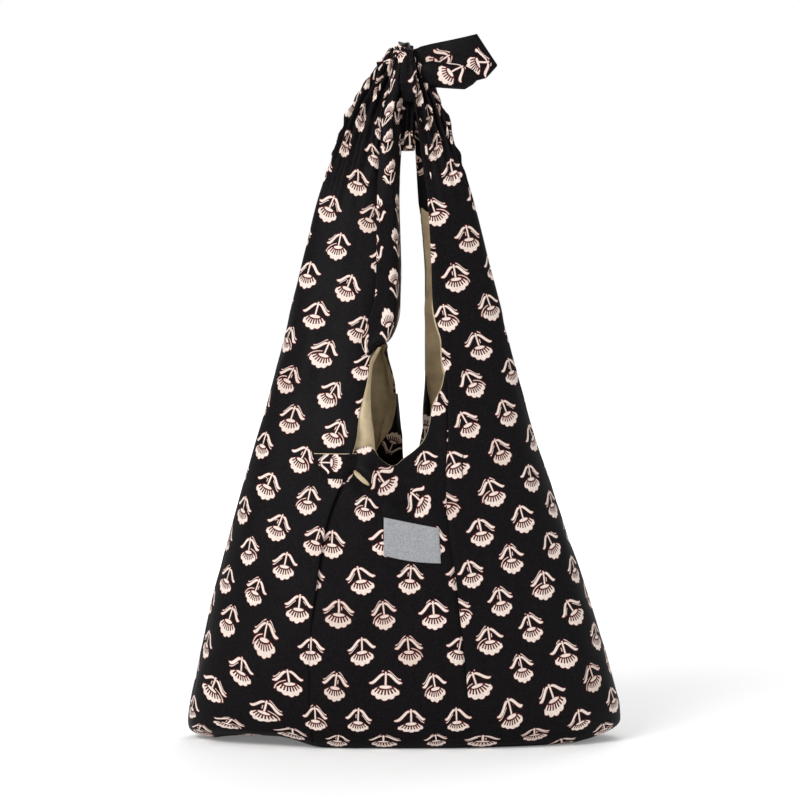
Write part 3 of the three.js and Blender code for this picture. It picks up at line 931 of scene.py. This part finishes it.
def outer_cloth():
    return welded("printed_cloth", bag_grids(strip, centre) + mouth_turns())


def lining_strip(name):
    """The lining of a side strip. It goes in behind the centre panel's edge, and peeps out past hems."""
    points, out = strip_surface(name)
    across = np.linalg.norm(points[:, -1:] - points, axis=-1)
    flank = flank_of(name)
    lap = tuck_depth(HEIGHTS, flank)[:, None]
    behind = (1 - ramp(across, lap + LINING_CLEAR[0], lap + LINING_CLEAR[1])) * in_tuck(name)[:, None]
    depth = LINING_DEPTH + behind * (SET_IN * tuck_radius(HEIGHTS, flank)[:, None] + BEHIND_GAP)
    depth = depth + LINING_FOLD * np.maximum(noise_at(points * LINING_SCALE), 0)
    points = points - out * depth[..., None]
    peep = LINING_PEEP * (1 - 2 * ramp(HEIGHTS, PEEP_TOPS[name], PEEP_TOPS[name] + PEEP_BLEND))
    edge = points[:, -1] + unit(points[:, -1] - points[:, -3]) * (HEM_RADIUS + peep)[:, None]
    points = np.concatenate([points, edge[:, None]], axis=1)
    return lifted(points), points[..., :2], facing(name)


def lining_centre(side):
    points = centre_surface(side, LINING_DEPTH + 1)[0]
    edge = points[-1] + unit(points[-1] - points[-3]) * (HEM_RADIUS + LINING_PEEP)
    points = np.concatenate([points, edge[None]])
    return lifted(points), points[..., :2], WAY[side]


def lining():
    return cloth_object("lining", bag_grids(lining_strip, lining_centre, LINING_DEPTH) + mouth_lining())


# Rolls and bands of gathered cloth at the knot: stations along each one's middle, with how wide and how
# thick it is there.
STATIONS = "x y z width thick"
WRAP = table(
    STATIONS,
    (2.5, -17, 588, 11, 6), (2.5, -23, 598, 15, 9), (2, -25, 611, 16, 10), (0, -20, 625, 17, 11),
    (-1, -9, 636, 18, 12), (-1, 4, 636.5, 17, 12), (-1, 15, 627, 17, 10), (1, 20, 612, 16, 9),
    (3, 18, 595, 15, 8), (3, 12, 580, 12, 6),
)
TOP_ROLL = table(
    STATIONS,
    (-30, 4, 601, 16, 8), (-22.5, -6, 612, 17, 10), (-12, -9, 625, 19, 12), (0, -4, 629, 19, 14),
    (12, 0, 621, 20, 14), (20, 2, 608, 17, 12), (24, 2, 596, 12, 8),
)
WEB = table(
    STATIONS,
    (3.2, 0, 602, 15, 22), (2.6, 0, 590, 15, 22), (2, 0, 570, 15, 20), (1.8, 0, 552, 14.5, 18),
    (1.8, 0, 543.5, 14, 17),
)
TAIL = table(
    STATIONS,
    (8, -3, 621, 30, 9), (14, -4, 620.8, 36.5, 10), (24, -5, 621.4, 40, 8), (34, -6, 621.9, 42.8, 7),
    (43.6, -8, 622.3, 45.4, 6), (54.6, -9, 623.1, 48.4, 6), (62, -9.5, 626.2, 45.7, 5),
    (65.7, -9, 628.5, 42.9, 5), (74.4, -8.5, 623, 27.2, 4), (84.1, -7.5, 621.2, 2, 3),
)
TAIL_FOLD = table(
    STATIONS,
    (8, -6, 612, 14, 8), (20, -10, 613.5, 23, 9), (34, -11.5, 612.2, 23.4, 9.5),
    (45, -12.5, 611.3, 22.8, 9), (55, -12.5, 610.2, 20, 7), (62.5, -12, 610.5, 12, 5),
    (66, -11.5, 611, 3, 2),
)
ROLL_STATIONS = 64
ROLL_TURNS = 72
ROLL_FRONT = 54  # the place round a roll from which its print is measured
ROLL_CRUMPLE = 5
PLEAT_WANDER, PLEAT_WAVE, PLEAT_SHARPNESS = 0.5, 9, 0.6


def roll(rows, side, pleats, pleat_depth, twist=0.0, crumple=0.0, straight=False):
    """A roll of cloth along a table's stations. Its width lies along side, and pleats run along it."""
    rows = columns(rows)
    middle = stacked(rows.x, rows.y, rows.z)
    keys = lengths_along(middle)
    at = np.linspace(0, keys[-1], ROLL_STATIONS)

    def read(values):
        if straight:
            values = values.reshape(len(keys), -1)
            return stacked(*(np.interp(at, keys, column) for column in values.T))
        return spline(keys, values, at).reshape(len(at), -1)

    path, width, thick = read(middle), read(rows.width), read(rows.thick)
    tangent = np.gradient(path, axis=0)
    if straight:
        tangent -= side * (tangent @ side)[:, None]
    tangent = unit(tangent)
    across = unit(side - tangent * (tangent @ side)[:, None])
    out = np.cross(across, tangent)
    angle = np.linspace(0, 2 * np.pi, ROLL_TURNS + 1)[None]
    wander = PLEAT_WANDER * np.sin(at[:, None] / PLEAT_WAVE)
    turn = pleats * (angle + twist * at[:, None] / keys[-1]) + wander
    size = 1 - pleat_depth * (0.5 + 0.5 * np.cos(turn)) ** PLEAT_SHARPNESS
    x_off = power(np.cos(angle)) * width / 2 * size
    y_off = power(np.sin(angle)) * thick / 2 * size
    grid = path[:, None] + across[:, None] * x_off[..., None] + out[:, None] * y_off[..., None]
    grid = grid + (grid - path[:, None]) * crumple * noise_at(grid / ROLL_CRUMPLE)[..., None]
    low_cap, top_cap = (0 * end + end.mean(axis=1, keepdims=True) for end in (grid[:1], grid[-1:]))
    grid = np.concatenate([low_cap, grid, top_cap])
    at = np.concatenate([at[:1], at, at[-1:]])
    around = lengths_along(grid)
    around -= around[:, ROLL_FRONT : ROLL_FRONT + 1]
    return grid, stacked(around, at[:, None] + 0 * around), 1


def printed(grid, angle, home, gathered=1.0):
    """A grid with its print turned, and with the middle of a sprig at home."""
    points, places, way = grid
    across, up = (gathered * (places[..., k] - home[k]) for k in range(2))
    across, up = turned(across, up, (0, 0), angle)
    return points, stacked(across, up) - PRINT_SHIFT, way


UPWARDS = np.array([0.0, 0.0, 1.0])
RIGHTWARDS = np.array([1.0, 0.0, 0.0])


def knot():
    wrap = roll(WRAP, RIGHTWARDS, pleats=7, pleat_depth=0.3, twist=2.2, crumple=0.28)
    top = roll(TOP_ROLL, UPWARDS, pleats=6, pleat_depth=0.3, twist=2.5, crumple=0.4)
    web = roll(WEB, RIGHTWARDS, pleats=7, pleat_depth=0.25, twist=0.6, crumple=0.15)
    grids = [printed(wrap, 0.0, (-15, 47)), printed(top, 1.9, (4, 22)), printed(web, math.pi, (3, 55))]
    return welded("knot", grids)


def free_end():
    tail = roll(TAIL, UPWARDS, pleats=2, pleat_depth=0.0, straight=True)
    fold = roll(TAIL_FOLD, UPWARDS, pleats=3, pleat_depth=0.08, twist=1.0)
    return welded("free_end", [printed(tail, 0.47, (-4.5, 61)), printed(fold, 0.64, (2, 35))])


# The label's lower and upper corners on the front, left and right in x and z, and how far its lower edge
# sags.
LABEL = np.array([[(-19.7, 174.7), (31.4, 167.6)], [(-19.7, 208.9), (29.6, 199)]])
LABEL_SAG = 1.6
LABEL_THICK = 0.6
LABEL_EASE = (0.5, 0.7)  # how far it lies off the cloth at its edges, and how much more in its middle
LABEL_CELLS = (50, 33)


def label():
    """A woven label that lies on the front and follows its folds."""
    t, s = shares(LABEL_CELLS[0])[None], shares(LABEL_CELLS[1])[:, None]
    low, top = lerp(LABEL[:, 0, None], LABEL[:, 1, None], t[..., None])
    places = lerp(low, top, s[..., None])
    middle = np.sin(np.pi * t)
    x, z = places[..., 0], places[..., 1] - LABEL_SAG * middle * (1 - s)
    smooth_points = stacked(x, depth_at(x, z, "front") + set_in(z), z)
    ease = LABEL_EASE[0] + LABEL_EASE[1] * middle * np.sin(np.pi * s)
    rise = relief(smooth_points) + LABEL_THICK + ease
    points = smooth_points + normals_of(smooth_points) * rise[..., None]
    item = cloth_object("woven_label", [(points, places - places[:1, :1], 1)])
    thick = item.modifiers.new("thick", "SOLIDIFY")
    thick.thickness = LABEL_THICK * MM
    thick.offset = -1
    return item


def wired(tree, node, values):
    """A shader node whose inputs are set to numbers and colours, or linked to other nodes' outputs."""
    if isinstance(node, str):
        node = tree.nodes.new("ShaderNode" + node)
    for place, value in values.items():
        value = getattr(value, "socket", value)
        if isinstance(value, bpy.types.NodeSocket):
            tree.links.new(value, node.inputs[place])
        else:
            node.inputs[place].default_value = value
    return node


class Shade:
    """A number in a shader, so that sums of shader nodes can be written as sums."""

    def __init__(self, tree, socket):
        self.tree = tree
        self.socket = socket

    def node(self, operation, *others):
        node = wired(self.tree, "Math", dict(enumerate((self, *others))))
        node.operation = operation
        return Shade(self.tree, node.outputs[0])

    __add__ = partialmethod(node, "ADD")
    __sub__ = partialmethod(node, "SUBTRACT")
    __mul__ = partialmethod(node, "MULTIPLY")
    __truediv__ = partialmethod(node, "DIVIDE")
    __pow__ = partialmethod(node, "POWER")
    __gt__ = partialmethod(node, "GREATER_THAN")
    __lt__ = partialmethod(node, "LESS_THAN")
    less = partialmethod(node, "MINIMUM")
    more = partialmethod(node, "MAXIMUM")
    size = partialmethod(node, "ABSOLUTE")
    floor = partialmethod(node, "FLOOR")
    cosine = partialmethod(node, "COSINE")
    sine = partialmethod(node, "SINE")
    angle = partialmethod(node, "ARCTAN2")

    def __neg__(self):
        return self * -1.0

    def root(self):
        return self.more(0.0).node("SQRT")

    def mixed(self, other, share):
        return self + (other - self) * share


def length_of(x, y):
    return (x * x + y * y).root()


def cover(distance, blur=0.16):
    """1 inside a shape and 0 outside, from the distance inside its edge."""
    share = distance / blur + 0.5
    share.socket.node.use_clamp = True
    return share


def shader_tree(name, values):
    """A new material, its tree and its surface, with the surface's inputs set."""
    material = bpy.data.materials.new(name)
    material.use_nodes = True
    tree = material.node_tree
    return material, tree, wired(tree, tree.nodes["Principled BSDF"], values)


def parts_of(tree, socket, kind="XYZ"):
    node = wired(tree, "Separate" + kind, {0: socket})
    return [Shade(tree, output) for output in node.outputs]


def nearest_cell(u, v):
    """The place in the nearest sprig's cell, and that cell's column and level."""
    cells = []
    for shift in (0.0, 0.5):
        a = u / PITCH_ACROSS + shift
        b = v / (2 * PITCH_UP) + shift
        i, j = (a + 0.5).floor(), (b + 0.5).floor()
        cells.append(((a - i) * PITCH_ACROSS, (b - j) * (2 * PITCH_UP), i + shift, j))
    far = [length_of(cell[0], cell[1]) for cell in cells]
    return [first.mixed(second, far[1] < far[0]) for first, second in zip(*cells)]


# Sprigs in the cloth that is pulled round below the mouth, by their cells' columns and levels: how far each
# is turned and moved, and how wide it still looks.
PULLED_SPRIGS = table(
    "column level turn right up width",
    (1.5, 4, -0.75, 6, 2, 1.0),
    (0, 4, -0.7, -1, -4, 0.9),
    (0.5, 4, 0.1, 7, 2, 0.72),
    (1, 4, -0.15, -3, 4, 0.9),
)
SAME_CELL = 0.2  # numbers of cells that are closer together than this are the same


def pulled_sprigs(i, j):
    """By how much the sprig in a cell is turned, moved and narrowed."""
    changes = [i * 0.0 for _ in range(4)]
    for row in PULLED_SPRIGS:
        here = (i - row.column).size() + (j - row.level).size() < SAME_CELL
        values = (row.turn, row.right, row.up, row.width - 1)
        changes = [change + here * value for change, value in zip(changes, values)]
    return changes


def random_of(tree, i, j, salt):
    place = wired(tree, "CombineXYZ", {0: i, 1: j, 2: salt})
    noise_node = wired(tree, "TexWhiteNoise", {"Vector": place.outputs[0]})
    return parts_of(tree, noise_node.outputs["Color"], "Color")


def eased(value):
    value = value.more(0.0).less(1.0)
    return value * value * (-(value * 2.0) + 3.0)


FAR = 9.0  # further inside or outside a shape than any of its points


def switch(value, level):
    """Far above nothing where a value is over a level, and far below it elsewhere."""
    return (value > level) * (2 * FAR) - FAR


def line(value, middle, half):
    """The distance inside a line, by half of its width."""
    return -(value - middle).size() + half


def band(value, low, high):
    return (value - low).less(-value + high)


def oval(x, y, middle, wide, high):
    """How far outside an oval a place is, by the oval's size. Its middle is straight above or below 0."""
    return length_of(x / wide, (y - middle) / high) - 1.0


# The sprig is charted in millimetres from its middle, x across and y towards its stem's end. Leaves droop
# from their root, and bulge round their middle. The flower's shell has lobes round its hub.
LEAF = Values(
    root=1.8, span=12.0, droop=8.8, y=13.3, middle=8.2, reach=7.3, bulge=1.6, least=0.5, slope=0.75,
)
LINE_START = (8.0, 24.0)  # the loose lines start at this x, or further left by up to this much
SHELL = Values(
    y=-3.6, down=9.2, up=5.0, end_power=1.6, out=12.9, flank_power=1.7, slope=5.6,
    hub=4.5, lobes=6.2, lobe_level=0.7, lobe_from=-2.0, lobe_span=3.0, lobe_height=1.5,
)
STAMENS = Values(y=8.0, apart=0.215, half=0.68, low=8.6, high=15.4, last=4.4, slope=4.0)
ODDS = 0.55  # the chance over which a sprig has a bar by its stem, or has its lines under its leaves
ARC_ODDS = 0.3  # and the one under which it has an arc round its flower


def sprig(x, y, chance):
    """The distance inside the edge of a stem with two leaves, and of a loose line along each leaf."""
    side = x.size()
    stem = line(x, 0.0, 0.95).less(band(y, 2.3, 15.7))
    bar = line(x, -2.6, 0.5).less(band(y, 5.0, 9.0))
    droop = eased((side - LEAF.root) / LEAF.span) * LEAF.droop
    off = y - (-droop + LEAF.y)
    along = (side - LEAF.middle) / LEAF.reach
    leaf = ((-(along * along) + 1.0) * LEAF.bulge + LEAF.least - off.size()) * LEAF.slope
    leaf = leaf.less((-along.size() + 1.0) * LEAF.reach)
    upper = line(off, 3.4, 0.55).less(band(side, 2.2, 14.4))
    lower = line(off, -3.3, 0.55).less(band(side, 4.2, 14.2))
    lines = upper.mixed(lower, chance[1] > ODDS)
    lines = lines.less(x + chance[2] * LINE_START[1] - LINE_START[0])
    return stem.more(bar.less(switch(chance[0], ODDS))), leaf, lines


def flower(x, y, chance):
    """The distance inside the edges of a calyx, a shell-shaped flower under it, its dark stamens and an
    arc round it."""
    calyx = -oval(x, y, 0.5, 5.9, 1.75) * 1.75
    down = -(y - SHELL.y)
    reach_down = (down / SHELL.down).more(0.0) ** SHELL.end_power
    reach_up = (down / -SHELL.up).more(0.0) ** SHELL.end_power
    out = (x.size() / SHELL.out) ** SHELL.flank_power
    lobes = (x.angle(down + SHELL.hub) * SHELL.lobes).cosine().size() - SHELL.lobe_level
    lobed = eased((down - SHELL.lobe_from) / SHELL.lobe_span) * SHELL.lobe_height
    shell = (-(out + reach_down + reach_up) + 1.0) * SHELL.slope + lobes * lobed
    ring = oval(x, y, 0.5, 7.4, 3.0) * 3.0
    stalk_y = -(y - STAMENS.y)
    reach = length_of(x, stalk_y)
    step = x.angle(stalk_y) / STAMENS.apart
    nearest = (step + 0.5).floor()
    off = (step - nearest).size() * STAMENS.apart * reach
    stamen = (-off + STAMENS.half).less(band(reach, STAMENS.low, STAMENS.high))
    stamen = stamen.less((-nearest.size() + STAMENS.last) * STAMENS.slope)
    arc = (-oval(x, y, -5.0, 14.2, 9.6).size() * 9.0 + 0.42).less(y + 4.5).less(x - 3.0)
    return calyx, shell.less(ring), stamen, arc.less(switch(-chance[1], -ARC_ODDS))


CREAM = (0.90, 0.775, 0.70, 1)
# The cream's worn colour. It is also the painted shade on sprigs that are darkened at random.
WORN_AND_SHADED_CREAM = (0.58, 0.46, 0.385, 1)
INK = (0.0026, 0.0020, 0.0026, 1)
WORN_INK = (0.0075, 0.0060, 0.0070, 1)
RIM = (0.10, 0.010, 0.012, 1)
RIM_WIDTH, RIM_BLUR = 0.65, 0.45
SPRIG_SALTS = (3.0, 8.0)  # the seeds of each sprig's own form and of its place
SPRIG_TILT = 0.4  # how much single sprigs differ in their tilt
SPRIG_NUDGE = (3.4, 3.0)  # and in their place
FRAY, SPREAD = 0.6, 0.1  # how much the grain frays the cream's edges, and how far the black runs over them
GRAIN_LOW = 0.3  # from this much grain on a cloth's second colour comes in
WEAR_SPAN, MOTTLE_SPAN = 0.5, 0.4
WEAR = 0.55  # how much the grain wears the cream
SPRIG_SHADE = 0.6  # painted shade: how dark the darkest of the randomly darkened sprigs get all over, and from which chance on sprigs get it


def colour_mix(tree, share, first, second):
    node = tree.nodes.new("ShaderNodeMix")
    node.data_type = "RGBA"
    return wired(tree, node, {0: share, 6: first, 7: second}).outputs[2]


def weave_bump(tree, surface, height, scale):
    """A fine unevenness of the cloth's surface, in its own coordinates."""
    place = tree.nodes.new("ShaderNodeTexCoord").outputs["Object"]
    grain = wired(tree, "TexNoise", {"Vector": place, "Scale": scale, "Detail": 4}).outputs[0]
    bump = wired(tree, "Bump", {"Strength": 0.5, "Distance": height * MM, "Height": grain})
    wired(tree, surface, {"Normal": bump.outputs[0]})
    return Shade(tree, grain)


def printed_cotton():
    """Black cotton, block printed with cream sprigs."""
    look = {"Roughness": 0.55, "Specular IOR Level": 0.08, "Sheen Weight": 0.008, "Sheen Roughness": 0.5}
    material, tree, surface = shader_tree("printed_cotton", look)
    grain = weave_bump(tree, surface, height=0.25, scale=500)
    place = tree.nodes.new("ShaderNodeUVMap")
    place.uv_map = "print"
    u, v = (part + shift for part, shift in zip(parts_of(tree, place.outputs[0]), PRINT_SHIFT))
    x, y, i, j = nearest_cell(u, v)
    chance, nudge = (random_of(tree, i, j, salt) for salt in SPRIG_SALTS)
    turn, right, raised, width = pulled_sprigs(i, j)
    tilt = (chance[0] - 0.5) * SPRIG_TILT + turn
    x = (x - right + (nudge[0] - 0.5) * SPRIG_NUDGE[0]) / SPRIG_SIZE[0] / (width + 1.0)
    y = (y - raised + (nudge[1] - 0.5) * SPRIG_NUDGE[1]) / SPRIG_SIZE[1]
    cos, sin = tilt.cosine(), tilt.sine()
    x, y = x * cos - y * sin, x * sin + y * cos
    x = x * ((nudge[2] > 0.5) * 2.0 - 1.0)
    stem, leaf, lines = sprig(x, y, chance)
    calyx, shell, stamen, arc = flower(x, y, chance)
    inside = stem.more(leaf).more(lines).more(calyx).more(arc).more(shell.less(-stamen))
    inside = inside + (grain - 0.5) * FRAY - SPREAD
    worn = eased((grain - GRAIN_LOW) / WEAR_SPAN)
    black = colour_mix(tree, worn, INK, WORN_INK)
    ink = colour_mix(tree, cover(inside + RIM_WIDTH, RIM_BLUR), black, RIM)
    # Painted shade: sprigs picked at random are darkened all over. They stand in for sprigs that lie in the
    # shade of folds.
    sprig_shade = eased((chance[2] - SPRIG_SHADE) / (1 - SPRIG_SHADE)) * SPRIG_SHADE
    cream = colour_mix(tree, (worn * WEAR).more(sprig_shade), CREAM, WORN_AND_SHADED_CREAM)
    wired(tree, surface, {"Base Color": colour_mix(tree, cover(inside), ink, cream)})
    return material


# Plain cloths: how rough and glossy, the grain's height and scale, and the colours that it mixes.
PLAIN_CLOTHS = dict(
    natural_cotton=Values(
        rough=0.85, gloss=0.2, height=4.0, scale=70,
        dark=(0.55, 0.43, 0.265, 1), light=(0.72, 0.585, 0.375, 1),
    ),
    woven_label=Values(
        rough=0.55, gloss=0.35, height=0.3, scale=700,
        dark=(0.26, 0.265, 0.28, 1), light=(0.37, 0.375, 0.39, 1),
    ),
)


def plain_cloth(name):
    cloth = PLAIN_CLOTHS[name]
    look = {"Roughness": cloth.rough, "Specular IOR Level": cloth.gloss}
    material, tree, surface = shader_tree(name, look)
    grain = weave_bump(tree, surface, cloth.height, cloth.scale)
    colour = colour_mix(tree, eased((grain - GRAIN_LOW) / MOTTLE_SPAN), cloth.dark, cloth.light)
    wired(tree, surface, {"Base Color": colour})
    return material


def dressed(item, material, node):
    item.data.materials.append(material)
    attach(item, "root")
    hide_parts(node)
    return item


def build():
    print_cloth = printed_cotton()
    cloth = dressed(outer_cloth(), print_cloth, "outer_cloth")
    knotted = dressed(knot(), print_cloth, "strap_knot")
    end = dressed(free_end(), print_cloth, "strap_free_end")
    inside = dressed(lining(), plain_cloth("natural_cotton"), "lining")
    tag = dressed(label(), plain_cloth("woven_label"), "label")


# The camera stands in front of the bag's middle, level with the mouth.
CAMERA_PLACE = (-0.0041, -2.2, 0.365)
CAMERA_AIM = (-0.0041, 0.0, 0.313)
CAMERA_LENS = 106.9
CAMERA_SENSOR = 36

LIGHTS = table(
    "name place size power",
    ("key", (-1.5, -1.9, 1.9), 1.3, 52),
    ("fill", (2.0, -1.9, 1.0), 1.8, 10),
    ("back", (0.5, 1.9, 2.2), 1.8, 30),
)
LIGHT_AIM = (0, 0, 0.3)
WHITE = (1, 1, 1, 1)
SURROUND = 0.5  # how bright the white surround is, where the camera doesn't see it
FLOOR_GLOW = (0.17, 0.8)  # added to the floor in the camera's view, near the bag and far from it
FLOOR_FAR = (0.5, 3.0)
FLOOR_SIZE = 60
FLOOR_GAP = 0.5 * MM


def aimed(item, place, aim):
    item.location = place
    item.rotation_euler = (Vector(aim) - Vector(place)).to_track_quat("-Z", "Y").to_euler()


def seen_by_camera(tree, seen, otherwise):
    """A number that is one value where the camera looks and another in the light that bounces."""
    path = tree.nodes.new("ShaderNodeLightPath")
    share = Shade(tree, path.outputs["Is Camera Ray"])
    return share * (seen - otherwise) + otherwise


def surround():
    world = bpy.data.worlds.new("surround")
    world.use_nodes = True
    tree = world.node_tree
    strength = seen_by_camera(tree, 1.0, SURROUND)
    wired(tree, tree.nodes["Background"], {"Color": WHITE, "Strength": strength})
    return world


def white_floor():
    look = {
        "Base Color": (0.9, 0.9, 0.9, 1),
        "Roughness": 0.9,
        "Specular IOR Level": 0,
        "Emission Color": WHITE,
    }
    material, tree, surface = shader_tree("white_floor", look)
    x, y, _ = parts_of(tree, tree.nodes.new("ShaderNodeTexCoord").outputs["Object"])
    far = eased((length_of(x, y) - FLOOR_FAR[0]) / (FLOOR_FAR[1] - FLOOR_FAR[0]))
    glow = far * (FLOOR_GLOW[1] - FLOOR_GLOW[0]) + FLOOR_GLOW[0]
    wired(tree, surface, {"Emission Strength": glow * seen_by_camera(tree, 1.0, 0.0)})
    return material


def studio():
    """A white floor, a white surround, soft lights and the camera."""
    scene = bpy.context.scene
    scene.view_settings.view_transform = "Standard"
    scene.world = surround()
    bpy.ops.mesh.primitive_plane_add(size=FLOOR_SIZE, location=(0, 0, -FLOOR_GAP))
    floor = bpy.context.object
    floor.name = "floor"
    floor.data.materials.append(white_floor())
    for row in LIGHTS:
        data = bpy.data.lights.new(row.name, "AREA")
        data.size = row.size
        data.energy = row.power
        aimed(linked(row.name, data), row.place, LIGHT_AIM)
    data = bpy.data.cameras.new("camera")
    data.lens = CAMERA_LENS
    data.sensor_width = CAMERA_SENSOR
    scene.camera = linked("camera", data)
    aimed(scene.camera, CAMERA_PLACE, CAMERA_AIM)


build()
studio()
